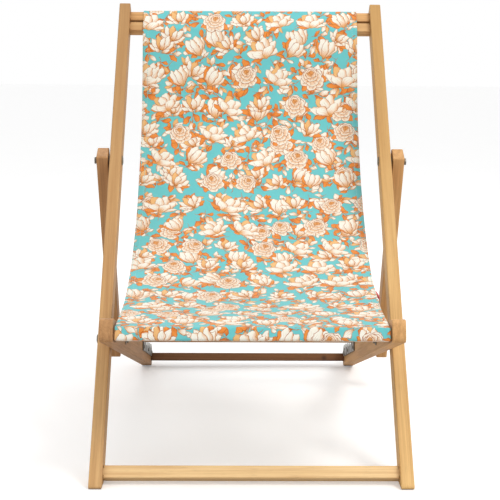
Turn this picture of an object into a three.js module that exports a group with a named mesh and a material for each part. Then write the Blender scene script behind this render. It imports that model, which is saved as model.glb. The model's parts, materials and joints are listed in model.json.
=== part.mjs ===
// A folding deck chair: a long back frame, a seat frame and a stay, bolted together, with a canvas sling.
// Millimetres. +X is across the chair, +Y runs from the sitter's feet to the back, +Z is up.
// The origin is on the ground, below the middle of the unfolded chair.

import * as THREE from 'three';

// Frame angles, above the ground.
const BACK_TILT = THREE.MathUtils.degToRad(51);
const SEAT_SLOPE = THREE.MathUtils.degToRad(16.3);

// Side bars: every one has the same section.
const BAR_THICK = 22;
const BAR_DEPTH = 38;
const HALF_DEPTH = BAR_DEPTH / 2;
const EDGE_ROUND = 1.5;

// The three frames nest: stay outside, back frame in the middle, seat frame inside.
const BACK_OUTER = 536;
const FRAME_GAP = 3;
const backX = BACK_OUTER / 2 - BAR_THICK / 2;
const seatX = backX - BAR_THICK - FRAME_GAP;
const stayX = backX + BAR_THICK + FRAME_GAP;
const seatInner = seatX - BAR_THICK / 2;

// Back frame, measured along its bars from where their centre line meets the ground.
const BACK_LENGTH = 1029;
const SEAT_PIVOT_ALONG = 270;
const STAY_PIVOT_ALONG = 650;
const FOOT_RAIL_ALONG = 22;
const TOP_SLAT_ALONG = 1003;

// Seat frame, measured along its rails from the seat pivot: negative to the front, positive to the rear.
const SEAT_FRONT_END = -234;
const SEAT_REAR_END = 694;
const FRONT_SLAT_ALONG = -216;
const REAR_RAIL_ALONG = 668;
const SEAT_SLAT_DROP = -5;

// Cross slats, with through tenons at both ends.
const SLAT_WIDTH = 22;
const SLAT_THICK = 17;
const SLAT_SLIT = 4;
// The inner slat of each pair is set back a little from the outer one.
const SLAT_SETBACK = 1;
const TENON_WIDTH = 14;
const FIT_GAP = 0.3;

// Stay: a pair of legs joined by a round bar that lies in the racks.
const STAY_HEAD = 18;
const STAY_TAIL = 40;
const STAY_BAR_RADIUS = 11;
const STAY_TENON_RADIUS = 7;
const NOTCH_ALONG = 435;
const NOTCH_HEIGHT = 30.5;

// Toothed steel racks on the inner faces of the seat rails.
const RACK_THICK = 2.5;
const RACK_START = 400;
const RACK_END = 652;
const RACK_PITCH = 44;
const RACK_TEETH = 5;
const RACK_BOTTOM = 1;
const RACK_VALLEY = 18.9;
const RACK_FIRST_TIP = 20.6;
const RACK_TIP_RISE = 2.4;
const RACK_TIP_LIMIT = 27;
const RACK_FRONT_TIP = 33;
const RACK_SCREWS_ALONG = [412, 530, 640];
const RACK_SCREW_HEIGHT = 9;
const RACK_SCREW_RADIUS = 2;
const RACK_SCREW_HOLE = 2.4;

// Hardware.
const BOLT_RADIUS = 4;
const HOLE_RADIUS = 4.4;
const WASHER_RADIUS = 10;
const WASHER_THICK = 1;
const SPACER_THICK = 2.4;
const ROUND_SEGMENTS = 24;

// Sling.
const SLING_WIDTH = 436;
const SLING_THICK = 2;
const SLING_CLEAR = 0.6;
const SLING_STEPS = 36;
const TAG_WIDTH = 9;
const TAG_LENGTH = 14;
const TAG_THICK = 1.2;
const TAG_SHARE = 0.737;
// Points of the hanging sheet, as shares of the way back-to-front and top-to-bottom.
const SLING_SHAPE = [[0.05, 0.29], [0.125, 0.475], [0.285, 0.715], [0.52, 0.905], [0.74, 0.98]];

const MATERIALS = {
  wood: { color: 0xc79a5f, roughness: 0.62, metalness: 0 },
  steel: { color: 0x9a958f, roughness: 0.4, metalness: 0.9 },
  canvas: { color: 0x6cc9c8, roughness: 0.9, metalness: 0 },
  tag: { color: 0xd8323c, roughness: 0.8, metalness: 0 },
};

const SIDES = [['left', -1], ['right', 1]];

const AXIS_X = new THREE.Vector3(1, 0, 0);
const AXIS_Y = new THREE.Vector3(0, 1, 0);
const AXIS_Z = new THREE.Vector3(0, 0, 1);

function part(name, geometry, finish) {
  const mesh = new THREE.Mesh(geometry, new THREE.MeshStandardMaterial(MATERIALS[finish]));
  mesh.name = name;
  return mesh;
}

// A point on the back frame's centre line, in the side plane.
function alongBack(along) {
  return new THREE.Vector3(0, along * Math.cos(BACK_TILT), along * Math.sin(BACK_TILT));
}

// Where the stay's bar lies in its notch.
function notchPlace() {
  const place = new THREE.Vector3(0, NOTCH_ALONG, NOTCH_HEIGHT).applyAxisAngle(AXIS_X, -SEAT_SLOPE);
  return place.add(alongBack(SEAT_PIVOT_ALONG));
}

// Turns a solid drawn in XY and grown along Z so that it is drawn in YZ and grown along X.
function standAcross(geometry) {
  return geometry.applyMatrix4(new THREE.Matrix4().makeBasis(AXIS_Y, AXIS_Z, AXIS_X));
}

// A closed outline whose corners are rounded. Each corner is [along, height, radius].
function roundedOutline(corners) {
  const shape = new THREE.Shape();
  corners.forEach(([x, y, radius], i) => {
    const corner = new THREE.Vector2(x, y);
    const [px, py] = corners.at(i - 1);
    const [nx, ny] = corners[(i + 1) % corners.length];
    const before = new THREE.Vector2(px, py).sub(corner).setLength(radius).add(corner);
    const after = new THREE.Vector2(nx, ny).sub(corner).setLength(radius).add(corner);
    if (i === 0) shape.moveTo(before.x, before.y);
    else shape.lineTo(before.x, before.y);
    shape.quadraticCurveTo(corner.x, corner.y, after.x, after.y);
  });
  shape.closePath();
  return shape;
}

function roundHole(along, height, radius) {
  return new THREE.Path().absarc(along, height, radius, 0, 2 * Math.PI, true);
}

// The through mortise that takes a slat's tenon.
function mortise(along, height) {
  const w = TENON_WIDTH / 2 + FIT_GAP;
  const t = SLAT_THICK / 2 + FIT_GAP;
  const path = new THREE.Path();
  path.moveTo(along - w, height - t);
  path.lineTo(along - w, height + t);
  path.lineTo(along + w, height + t);
  path.lineTo(along + w, height - t);
  path.closePath();
  return path;
}

// A plate cut from an outline in the frame's side view, centred on x.
function sidePlate(outline, holes, thickness, round, x) {
  outline.holes.push(...holes);
  const geometry = new THREE.ExtrudeGeometry(outline, {
    depth: thickness - 2 * round,
    bevelEnabled: round > 0,
    bevelThickness: round,
    bevelSize: round,
    bevelOffset: -round,
    bevelSegments: 2,
    curveSegments: ROUND_SEGMENTS / 4,
  });
  return standAcross(geometry).translate(x - thickness / 2 + round, 0, 0);
}

function sideBar(outline, holes, x) {
  return sidePlate(outline, holes, BAR_THICK, EDGE_ROUND, x);
}

// A cross slat between two bars whose centres are at +-barX, with a tenon through each.
function crossSlat(barX, along, height) {
  const shoulder = barX - BAR_THICK / 2 - FIT_GAP;
  const end = barX + BAR_THICK / 2 - FIT_GAP;
  const w = SLAT_WIDTH / 2;
  const t = TENON_WIDTH / 2;
  const outline = new THREE.Shape([
    new THREE.Vector2(-shoulder, -w),
    new THREE.Vector2(shoulder, -w),
    new THREE.Vector2(shoulder, -t),
    new THREE.Vector2(end, -t),
    new THREE.Vector2(end, t),
    new THREE.Vector2(shoulder, t),
    new THREE.Vector2(shoulder, w),
    new THREE.Vector2(-shoulder, w),
    new THREE.Vector2(-shoulder, t),
    new THREE.Vector2(-end, t),
    new THREE.Vector2(-end, -t),
    new THREE.Vector2(-shoulder, -t),
  ]);
  const geometry = new THREE.ExtrudeGeometry(outline, {
    depth: SLAT_THICK - 2 * EDGE_ROUND,
    bevelThickness: EDGE_ROUND,
    bevelSize: EDGE_ROUND,
    bevelOffset: -EDGE_ROUND,
    bevelSegments: 2,
  });
  return geometry.translate(0, along, height - SLAT_THICK / 2 + EDGE_ROUND);
}

// A solid of revolution about X. The profile is a list of [x, radius], from axis to axis.
function turned(profile) {
  const points = profile.map(([x, radius]) => new THREE.Vector2(radius, x));
  return new THREE.LatheGeometry(points, ROUND_SEGMENTS).rotateZ(-Math.PI / 2);
}

// A ring about X, from x to x plus its thickness.
function washer(x, thick) {
  const disc = new THREE.Shape().absarc(0, 0, WASHER_RADIUS, 0, 2 * Math.PI, false);
  disc.holes.push(roundHole(0, 0, HOLE_RADIUS));
  const options = { depth: thick, bevelEnabled: false, curveSegments: ROUND_SEGMENTS / 2 };
  return standAcross(new THREE.ExtrudeGeometry(disc, options)).translate(x, 0, 0);
}

function addWasher(group, name, side, nearX, thick) {
  const x = side > 0 ? nearX : -nearX - thick;
  group.add(part(name, washer(x, thick), 'steel'));
}

// A cap nut about X, standing on x and pointing the way of side.
function capNut(x, side) {
  const across = 7.2;
  const height = 1.6;
  const dome = 1.8;
  const hexagon = new THREE.Shape();
  for (let i = 0; i < 6; i++) {
    const angle = (i * Math.PI) / 3;
    const corner = [across * Math.cos(angle), across * Math.sin(angle)];
    if (i === 0) hexagon.moveTo(...corner);
    else hexagon.lineTo(...corner);
  }
  hexagon.closePath();
  const options = { depth: height, bevelEnabled: true, bevelThickness: dome / 2, bevelSize: 2,
    bevelOffset: -2, bevelSegments: 3 };
  const geometry = new THREE.ExtrudeGeometry(hexagon, options);
  const nut = standAcross(geometry).translate(dome / 2 + FIT_GAP, 0, 0);
  if (side < 0) nut.rotateY(Math.PI);
  return nut.translate(x, 0, 0);
}

// A bolt about X with a low round head on headX; its shank runs to tipX.
function roundHeadBolt(headX, tipX, headRadius, headHeight) {
  const out = Math.sign(headX - tipX);
  const profile = [
    [headX + out * headHeight, 0],
    [headX + out * headHeight, headRadius * 0.72],
    [headX + out * headHeight * 0.45, headRadius],
    [headX, headRadius],
    [headX, BOLT_RADIUS],
    [tipX, BOLT_RADIUS],
    [tipX, 0],
  ];
  return turned(out > 0 ? profile.reverse() : profile);
}

// A pan-head wood screw about X; the head stands inward on headX.
function rackScrew(headX, side) {
  const headRadius = 4;
  const length = 14;
  const profile = [
    [-1.8, 0],
    [-1.8, headRadius * 0.7],
    [-0.6, headRadius],
    [0, headRadius],
    [0, RACK_SCREW_RADIUS],
    [length - 3, RACK_SCREW_RADIUS],
    [length, 0],
  ];
  const screw = turned(profile);
  if (side < 0) screw.rotateY(Math.PI);
  return screw.translate(headX, 0, 0);
}

// ---- Back frame: local Y runs up along the bars, local Z points to the sitter ----

function backStile(x) {
  const footSlant = HALF_DEPTH / Math.tan(BACK_TILT);
  const outline = roundedOutline([
    [footSlant, -HALF_DEPTH, 5],
    [BACK_LENGTH, -HALF_DEPTH, 4],
    [BACK_LENGTH, HALF_DEPTH, 4],
    [-footSlant, HALF_DEPTH, 12],
  ]);
  const holes = [
    mortise(FOOT_RAIL_ALONG, 0),
    mortise(TOP_SLAT_ALONG, 0),
    mortise(TOP_SLAT_ALONG - SLAT_WIDTH - SLAT_SLIT, -SLAT_SETBACK),
    roundHole(SEAT_PIVOT_ALONG, 0, HOLE_RADIUS),
    roundHole(STAY_PIVOT_ALONG, 0, HOLE_RADIUS),
  ];
  return sideBar(outline, holes, x);
}

function buildBackFrame() {
  const frame = new THREE.Group();
  const lowerSlatAlong = TOP_SLAT_ALONG - SLAT_WIDTH - SLAT_SLIT;
  frame.add(part('left_back_stile', backStile(-backX), 'wood'));
  frame.add(part('right_back_stile', backStile(backX), 'wood'));
  frame.add(part('back_top_slat', crossSlat(backX, TOP_SLAT_ALONG, 0), 'wood'));
  frame.add(part('back_lower_slat', crossSlat(backX, lowerSlatAlong, -SLAT_SETBACK), 'wood'));
  frame.add(part('back_foot_rail', crossSlat(backX, FOOT_RAIL_ALONG, 0), 'wood'));
  frame.rotation.x = BACK_TILT;
  return frame;
}

// ---- Seat frame: local Y runs down to the rear, local Z points up, origin on the seat pivot ----

function rackScrewHoles() {
  return RACK_SCREWS_ALONG.map((along) => roundHole(along, RACK_SCREW_HEIGHT, RACK_SCREW_HOLE));
}

function seatRail(x) {
  const pivotHeight = SEAT_PIVOT_ALONG * Math.sin(BACK_TILT);
  const groundAlong = (height) => (pivotHeight + height * Math.cos(SEAT_SLOPE)) / Math.sin(SEAT_SLOPE);
  const groundHeight = (along) => (along * Math.sin(SEAT_SLOPE) - pivotHeight) / Math.cos(SEAT_SLOPE);
  const outline = roundedOutline([
    [SEAT_FRONT_END, -HALF_DEPTH, 11],
    [groundAlong(-HALF_DEPTH), -HALF_DEPTH, 2.5],
    [SEAT_REAR_END, groundHeight(SEAT_REAR_END), 4],
    [SEAT_REAR_END, HALF_DEPTH, 6],
    [SEAT_FRONT_END, HALF_DEPTH, 11],
  ]);
  const holes = [
    mortise(FRONT_SLAT_ALONG, SEAT_SLAT_DROP),
    mortise(FRONT_SLAT_ALONG + SLAT_WIDTH + SLAT_SLIT, SEAT_SLAT_DROP - SLAT_SETBACK),
    mortise(REAR_RAIL_ALONG, 0),
    roundHole(0, 0, HOLE_RADIUS),
    ...rackScrewHoles(),
  ];
  return sideBar(outline, holes, x);
}

// The rack's tips climb to the rear, so that the stay's bar rides clear of them as the chair folds.
function rackPlate(x) {
  const outline = new THREE.Shape();
  outline.moveTo(RACK_START, RACK_BOTTOM);
  outline.lineTo(RACK_END, RACK_BOTTOM);
  outline.lineTo(RACK_END, RACK_VALLEY);
  for (let tooth = RACK_TEETH; tooth > 0; tooth--) {
    const tipAlong = NOTCH_ALONG + (tooth - 0.5) * RACK_PITCH;
    const tipHeight = Math.min(RACK_FIRST_TIP + (tooth - 1) * RACK_TIP_RISE, RACK_TIP_LIMIT);
    const valleyAlong = tipAlong - RACK_PITCH / 2;
    outline.lineTo(tipAlong + 3, tipHeight);
    outline.lineTo(tipAlong - 3, tipHeight);
    outline.lineTo(valleyAlong + 4, tooth > 1 ? RACK_VALLEY - 6 : RACK_VALLEY);
    outline.lineTo(valleyAlong - 4, tooth > 1 ? RACK_VALLEY - 6 : RACK_VALLEY);
  }
  outline.lineTo(NOTCH_ALONG - 20, RACK_FRONT_TIP);
  outline.lineTo(NOTCH_ALONG - 27, RACK_FRONT_TIP);
  outline.lineTo(RACK_START, RACK_VALLEY);
  outline.closePath();
  return sidePlate(outline, rackScrewHoles(), RACK_THICK, 0, x);
}

function buildSeatFrame() {
  const frame = new THREE.Group();
  const rackX = seatInner - RACK_THICK / 2 - FIT_GAP;
  const secondSlatAlong = FRONT_SLAT_ALONG + SLAT_WIDTH + SLAT_SLIT;
  const secondSlat = crossSlat(seatX, secondSlatAlong, SEAT_SLAT_DROP - SLAT_SETBACK);
  frame.add(part('seat_front_slat', crossSlat(seatX, FRONT_SLAT_ALONG, SEAT_SLAT_DROP), 'wood'));
  frame.add(part('seat_second_slat', secondSlat, 'wood'));
  frame.add(part('seat_rear_rail', crossSlat(seatX, REAR_RAIL_ALONG, 0), 'wood'));
  for (const [side, sign] of SIDES) {
    frame.add(part(`${side}_seat_rail`, seatRail(sign * seatX), 'wood'));
    frame.add(part(`${side}_rack`, rackPlate(sign * rackX), 'steel'));
    RACK_SCREWS_ALONG.forEach((along, i) => {
      const headX = sign * (seatInner - RACK_THICK - 2 * FIT_GAP);
      const screw = rackScrew(headX, sign).translate(0, along, RACK_SCREW_HEIGHT);
      frame.add(part(`${side}_rack_screw_${i + 1}`, screw, 'steel'));
    });
  }
  frame.rotation.x = -SEAT_SLOPE;
  frame.position.copy(alongBack(SEAT_PIVOT_ALONG));
  return frame;
}

// ---- Stay: local Y runs down the legs to their tails, origin on the stay pivot ----

function stayLeg(x, reach) {
  const outline = roundedOutline([
    [-STAY_HEAD, -HALF_DEPTH, 4],
    [reach + STAY_TAIL, -HALF_DEPTH, 4],
    [reach + STAY_TAIL, HALF_DEPTH, 4],
    [-STAY_HEAD, HALF_DEPTH, 4],
  ]);
  const holes = [roundHole(0, 0, HOLE_RADIUS), roundHole(reach, 0, STAY_TENON_RADIUS + FIT_GAP)];
  return sideBar(outline, holes, x);
}

function stayBar() {
  const shoulder = stayX - BAR_THICK / 2 - FIT_GAP;
  const end = stayX + BAR_THICK / 2 - FIT_GAP;
  return turned([
    [-end, 0],
    [-end, STAY_TENON_RADIUS],
    [-shoulder, STAY_TENON_RADIUS],
    [-shoulder, STAY_BAR_RADIUS],
    [shoulder, STAY_BAR_RADIUS],
    [shoulder, STAY_TENON_RADIUS],
    [end, STAY_TENON_RADIUS],
    [end, 0],
  ]);
}

function buildStay() {
  const pivot = alongBack(STAY_PIVOT_ALONG);
  const toNotch = notchPlace().sub(pivot);
  const reach = toNotch.length();
  const frame = new THREE.Group();
  for (const [side, sign] of SIDES) {
    frame.add(part(`${side}_stay_leg`, stayLeg(sign * stayX, reach), 'wood'));
  }
  frame.add(part('stay_bar', stayBar().translate(0, reach, 0), 'wood'));
  frame.rotation.x = Math.atan2(toNotch.z, toNotch.y);
  frame.position.copy(pivot);
  return frame;
}

// ---- Bolts: local origin on a pivot's axis ----

function buildSeatBolts() {
  const group = new THREE.Group();
  const outer = BACK_OUTER / 2;
  for (const [side, sign] of SIDES) {
    const headX = sign * (outer + WASHER_THICK + 2 * FIT_GAP);
    const tipX = sign * (seatInner - WASHER_THICK - 3 * FIT_GAP);
    const spacerX = backX - BAR_THICK / 2 - FIT_GAP - SPACER_THICK;
    group.add(part(`${side}_seat_bolt`, roundHeadBolt(headX, tipX, 8, 2), 'steel'));
    addWasher(group, `${side}_seat_bolt_washer`, sign, outer + FIT_GAP, WASHER_THICK);
    addWasher(group, `${side}_seat_pivot_spacer`, sign, spacerX, SPACER_THICK);
    addWasher(group, `${side}_seat_nut_washer`, sign, seatInner - FIT_GAP - WASHER_THICK, WASHER_THICK);
    group.add(part(`${side}_seat_nut`, capNut(tipX, -sign), 'steel'));
  }
  group.position.copy(alongBack(SEAT_PIVOT_ALONG));
  return group;
}

function buildStayBolts() {
  const group = new THREE.Group();
  const inner = backX - BAR_THICK / 2;
  const outer = stayX + BAR_THICK / 2;
  for (const [side, sign] of SIDES) {
    const headX = sign * (inner - FIT_GAP);
    const tipX = sign * (outer + WASHER_THICK + 3 * FIT_GAP);
    group.add(part(`${side}_stay_bolt`, roundHeadBolt(headX, tipX, 9, 1.8), 'steel'));
    addWasher(group, `${side}_stay_pivot_spacer`, sign, backX + BAR_THICK / 2 + FIT_GAP, SPACER_THICK);
    addWasher(group, `${side}_stay_nut_washer`, sign, outer + FIT_GAP, WASHER_THICK);
    group.add(part(`${side}_stay_nut`, capNut(tipX, sign), 'steel'));
  }
  group.position.copy(alongBack(STAY_PIVOT_ALONG));
  return group;
}

// ---- Sling: one sheet, looped through the slit between each pair of slats ----

// The sheet's path round a pair's outer slat in side view: over its outer edge, back under it and
// up through the slit. outward is the way from the slit to the outer slat.
function loopRound(origin, angle, along, height, outward) {
  const off = SLING_THICK / 2 + SLING_CLEAR;
  const top = height + SLAT_THICK / 2 + off;
  const under = height - SLAT_THICK / 2 - off;
  const tip = along + outward * (SLAT_WIDTH / 2 + off);
  const slit = along - outward * (SLAT_WIDTH + SLAT_SLIT) / 2;
  const round = 4;
  const nip = 1.2;
  const place = (u, v) => new THREE.Vector2(
    origin.y + u * Math.cos(angle) - v * Math.sin(angle),
    origin.z + u * Math.sin(angle) + v * Math.cos(angle),
  );
  const loop = [
    place(tip - outward * round, top),
    place(tip - outward * nip, top - nip),
    place(tip, top - round),
    place(tip, under + round),
    place(tip - outward * nip, under + nip),
    place(tip - outward * round, under),
    place(slit + outward * round, under),
    place(slit + outward * nip, under + nip),
    place(slit, under + round),
    place(slit, top - 2.8),
  ];
  return { place, top, loop };
}

function slingCentreLine() {
  const pivot = alongBack(SEAT_PIVOT_ALONG);
  const back = loopRound(new THREE.Vector3(), BACK_TILT, TOP_SLAT_ALONG, 0, 1);
  const front = loopRound(pivot, -SEAT_SLOPE, FRONT_SLAT_ALONG, SEAT_SLAT_DROP, -1);
  const lowerEdge = TOP_SLAT_ALONG - 1.5 * SLAT_WIDTH - SLAT_SLIT;
  const start = back.place(lowerEdge - 2, back.top - 2);
  const end = front.loop[0];
  const hang = SLING_SHAPE.map(([across, drop]) => new THREE.Vector2(
    THREE.MathUtils.lerp(start.x, end.x, across),
    THREE.MathUtils.lerp(start.y, end.y, drop),
  ));
  const curve = new THREE.SplineCurve([start, ...hang, end]);
  const onSlats = [back.place(lowerEdge + 6, back.top), back.place(lowerEdge + 1.5, back.top - 0.4)];
  return [...back.loop.reverse(), ...onSlats, ...curve.getPoints(SLING_STEPS), ...front.loop.slice(1)];
}

function slingOutline() {
  const line = slingCentreLine();
  const side = (offset) => line.map((point, i) => {
    const before = line[Math.max(i - 1, 0)];
    const after = line[Math.min(i + 1, line.length - 1)];
    const along = after.clone().sub(before).normalize();
    return point.clone().add(new THREE.Vector2(-along.y, along.x).multiplyScalar(offset));
  });
  const half = SLING_THICK / 2;
  return new THREE.Shape([...side(half), ...side(-half).reverse()]);
}

function slingSheet() {
  const sheet = new THREE.ExtrudeGeometry(slingOutline(), { depth: SLING_WIDTH, bevelEnabled: false });
  return standAcross(sheet).translate(-SLING_WIDTH / 2, 0, 0);
}

// A small blank tag at the sling's right edge, in line with the sheet.
function slingTag() {
  const curve = new THREE.SplineCurve(slingCentreLine());
  const place = curve.getPointAt(TAG_SHARE);
  const along = curve.getTangentAt(TAG_SHARE);
  return new THREE.BoxGeometry(TAG_WIDTH, TAG_LENGTH, TAG_THICK)
    .rotateX(Math.atan2(along.y, along.x))
    .translate(SLING_WIDTH / 2 + FIT_GAP + TAG_WIDTH / 2, place.x, place.y);
}

function buildSling() {
  const group = new THREE.Group();
  group.add(part('sling', slingSheet(), 'canvas'));
  group.add(part('sling_tag', slingTag(), 'tag'));
  return group;
}

// ---- The chair ----

function buildChair() {
  const chair = new THREE.Group();
  chair.add(buildBackFrame(), buildSeatFrame(), buildStay());
  chair.add(buildSeatBolts(), buildStayBolts(), buildSling());
  const box = new THREE.Box3().setFromObject(chair, true);
  chair.position.y = -(box.min.y + box.max.y) / 2;
  return chair;
}

export default buildChair();
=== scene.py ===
"""A folding deck chair: timber frames from the CAD model, and a printed canvas sling made here.

Lengths are in metres unless a comment says otherwise.
"""
import json
import math

import bmesh
import bpy
import numpy as np
from mathutils import Matrix, Vector


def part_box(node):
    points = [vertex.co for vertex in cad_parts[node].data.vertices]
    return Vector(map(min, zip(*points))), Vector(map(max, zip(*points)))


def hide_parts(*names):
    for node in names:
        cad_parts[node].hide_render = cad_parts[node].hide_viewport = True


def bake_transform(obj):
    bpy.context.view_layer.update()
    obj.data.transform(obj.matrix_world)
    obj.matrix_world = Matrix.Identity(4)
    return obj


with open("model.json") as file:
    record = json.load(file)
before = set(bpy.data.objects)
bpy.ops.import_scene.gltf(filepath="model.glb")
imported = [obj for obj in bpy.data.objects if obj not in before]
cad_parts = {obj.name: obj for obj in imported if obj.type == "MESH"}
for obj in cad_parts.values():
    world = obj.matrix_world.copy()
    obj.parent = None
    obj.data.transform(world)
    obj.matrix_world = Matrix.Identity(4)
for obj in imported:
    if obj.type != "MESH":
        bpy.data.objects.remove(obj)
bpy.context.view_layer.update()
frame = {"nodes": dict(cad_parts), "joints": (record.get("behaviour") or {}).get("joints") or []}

NODES = frame["nodes"]
JOINTS = {joint["name"]: joint for joint in frame["joints"]}

# Slats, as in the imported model.
SLAT_WIDTH = 0.022
SLAT_THICK = 0.017
SLAT_SLIT = 0.004

# Canvas. Its path lies CLOTH_OFF off the slats, and a hem is folded HEM_DROP below the face.
CLOTH_THICK = 0.001
CLOTH_WIDTH = 0.436
CLOTH_OFF = 0.0021
HEM_WIDTH = 0.013
HEM_DROP = 0.0013
# Points of the hanging sheet, as shares of the way back-to-front and top-to-bottom.
SLING_SHAPE = ((0.05, 0.29), (0.125, 0.475), (0.285, 0.715), (0.52, 0.905), (0.74, 0.98))
# Spacing of the sheet's rows round a slat, over the back slats and in the hanging part, with its columns.
LOOP_STEP = 0.0014
OVER_STEP = 0.003
HANG_STEP = 0.005
SPLINE_STEPS = 40
COLUMNS = 72
HEM_COLUMNS = 4
FOLD_COLUMNS = 4
# How far a loop reaches over its slat's face, how deep in the slit it ends, and how round its bends are.
LOOP_FACE = 0.0045
LOOP_END = 0.006
LOOP_RADIUS = 0.0038
# How far the sheet has sunk where it leaves the lower back slat, and how round it bends there.
EDGE_SINK = 0.002
EDGE_RADIUS = 0.0009
# The hanging sheet's shallow belly, and the heights of its edge ripples.
BELLY_DEPTH = 0.0055
SLOW_RIPPLE = 0.0011
QUICK_RIPPLE = 0.0007
# The sheet is flat for a length at each end. The belly and ripples grow over the next one.
TOP_FLAT, TOP_GROWTH = 0.125, 0.14
FRONT_FLAT, FRONT_GROWTH = 0.13, 0.12

# Hem stitches.
STITCH_PITCH = 0.0042
STITCH_LENGTH = STITCH_PITCH * 0.7
STITCH_RADIUS = 0.0004
STITCH_SIDES = 6
# How far the outer and inner rows lie from the sheet's edge, and how far from its ends they stop.
STITCH_INSETS = (0.0022, HEM_WIDTH - 0.003)
STITCH_MARGIN = 0.1

# The edge tag's drop, width and thickness, and its strips across its width.
TAG_SIZE = (0.011, 0.014, 0.0006)
TAG_STRIPS = 8
TAG_CURL = 0.0009

FLOOR_HALF_SIDE = 30.0
# How much the floor shines, so that it meets the white background.
FLOOR_GLOW = 0.24
# The floor's colour as the object's own light sees it, darker than the camera does.
FLOOR_BOUNCE = (0.64, 0.63, 0.62, 1.0)
# The world's light on the object. The camera sees it as white.
WORLD_LIGHT = 0.76

# Spacing of the racks' recesses, one to each tooth, each darkened with painted shadow, and the first
# one's place past the first screw.
RECESS_PITCH = 0.044
RECESS_PAST_SCREW = 0.023


# ---- Node trees ----


def linear(red, green, blue):
    """An 8-bit sRGB colour as Blender's linear RGBA."""

    def channel(value):
        value /= 255
        return value / 12.92 if value <= 0.04045 else ((value + 0.055) / 1.055) ** 2.4

    return (channel(red), channel(green), channel(blue), 1.0)


class Graph:
    """Adds nodes to a tree and links them, one value at a time."""

    def __init__(self, tree):
        self.tree = tree

    def node(self, kind, **settings):
        node = self.tree.nodes.new(kind)
        for name, value in settings.items():
            setattr(node, name, value)
        return node

    def plug(self, socket, value):
        if isinstance(value, bpy.types.NodeSocket):
            self.tree.links.new(value, socket)
        elif socket.type == "VECTOR":
            socket.default_value = tuple(value)[:3]
        else:
            socket.default_value = value

    def math(self, operation, *values, clamp=False):
        node = self.node("ShaderNodeMath", operation=operation, use_clamp=clamp)
        for socket, value in zip(node.inputs, values):
            self.plug(socket, value)
        return node.outputs[0]

    def sum(self, start, value, factor):
        """start + value x factor."""
        return self.math("MULTIPLY_ADD", value, factor, start)

    def vector(self, operation, *values):
        node = self.node("ShaderNodeVectorMath", operation=operation)
        sockets = [node.inputs[0], node.inputs[3 if operation == "SCALE" else 1], node.inputs[2]]
        for socket, value in zip(sockets, values):
            self.plug(socket, value)
        return node.outputs["Value" if operation in ("LENGTH", "DOT_PRODUCT") else "Vector"]

    def split(self, vector):
        node = self.node("ShaderNodeSeparateXYZ")
        self.plug(node.inputs[0], vector)
        return node.outputs

    def channels(self, color):
        node = self.node("ShaderNodeSeparateColor")
        self.plug(node.inputs[0], color)
        return node.outputs

    def wander(self, vector, scale, reach, detail=2.0):
        """A vector pushed about by noise, by up to half of reach each way."""
        pushed = self.channels(self.noise(vector, scale, detail)["Color"])
        pushes = [self.math("MULTIPLY", self.math("SUBTRACT", value, 0.5), reach) for value in pushed]
        return self.vector("ADD", vector, self.join(*pushes))

    def join(self, x=0.0, y=0.0, z=0.0):
        node = self.node("ShaderNodeCombineXYZ")
        for socket, value in zip(node.inputs, (x, y, z)):
            self.plug(socket, value)
        return node.outputs[0]

    def step(self, value, low, high, out_low=0.0, out_high=1.0):
        """Smooth step: out_low below low, out_high above high."""
        node = self.node("ShaderNodeMapRange", interpolation_type="SMOOTHSTEP", clamp=False)
        for socket, number in zip(node.inputs, (value, low, high, out_low, out_high)):
            self.plug(socket, number)
        return node.outputs[0]

    def mix(self, share, under, over):
        """The colour under, with a share of the colour over laid on it."""
        node = self.node("ShaderNodeMix", data_type="RGBA")
        self.plug(node.inputs[0], share)
        self.plug(node.inputs[6], under)
        self.plug(node.inputs[7], over)
        return node.outputs[2]

    def noise(self, vector, scale, detail=2.0, roughness=0.5, distortion=0.0):
        node = self.node("ShaderNodeTexNoise")
        for name, value in (("Vector", vector), ("Scale", scale), ("Detail", detail),
                            ("Roughness", roughness), ("Distortion", distortion)):
            self.plug(node.inputs[name], value)
        return node.outputs

    def bump(self, height, distance, strength=1.0, normal=None):
        node = self.node("ShaderNodeBump")
        self.plug(node.inputs["Strength"], strength)
        self.plug(node.inputs["Distance"], distance)
        self.plug(node.inputs["Height"], height)
        if normal is not None:
            self.plug(node.inputs["Normal"], normal)
        return node.outputs[0]

    def group(self, tree, **values):
        node = self.node("ShaderNodeGroup", node_tree=tree)
        for name, value in values.items():
            self.plug(node.inputs[name.replace("_", " ")], value)
        return node.outputs


def new_group(name, inputs, outputs):
    """A shader node group and its graph. inputs and outputs are lists of (name, kind)."""
    tree = bpy.data.node_groups.new(name, "ShaderNodeTree")
    for label, kind in inputs:
        tree.interface.new_socket(label, in_out="INPUT", socket_type="NodeSocket" + kind)
    for label, kind in outputs:
        tree.interface.new_socket(label, in_out="OUTPUT", socket_type="NodeSocket" + kind)
    graph = Graph(tree)
    return tree, graph, graph.node("NodeGroupInput").outputs


def close_group(graph, *values):
    out = graph.node("NodeGroupOutput")
    for socket, value in zip(out.inputs, values):
        graph.plug(socket, value)


def new_material(name):
    """An empty material and its graph."""
    material = bpy.data.materials.new(name)
    material.use_nodes = True
    material.node_tree.nodes.clear()
    graph = Graph(material.node_tree)
    return material, graph


def finish_material(graph, **values):
    shader = graph.node("ShaderNodeBsdfPrincipled")
    for name, value in values.items():
        graph.plug(shader.inputs[name.replace("_", " ")], value)
    graph.tree.links.new(shader.outputs[0], graph.node("ShaderNodeOutputMaterial").inputs[0])


# ---- Floral print ----

CREAM = linear(255, 250, 236)
GOLD = linear(236, 164, 78)
ORANGE = linear(245, 150, 66)
RUST = linear(216, 104, 34)
LINE = linear(180, 100, 36)
TURQUOISE = linear(112, 206, 209)

# The light and deep colours of each tint of petal.
TINTS = {
    "cream": (CREAM, GOLD),
    "gold": (linear(248, 196, 130), linear(220, 132, 56)),
    "orange": (ORANGE, RUST),
}

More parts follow.
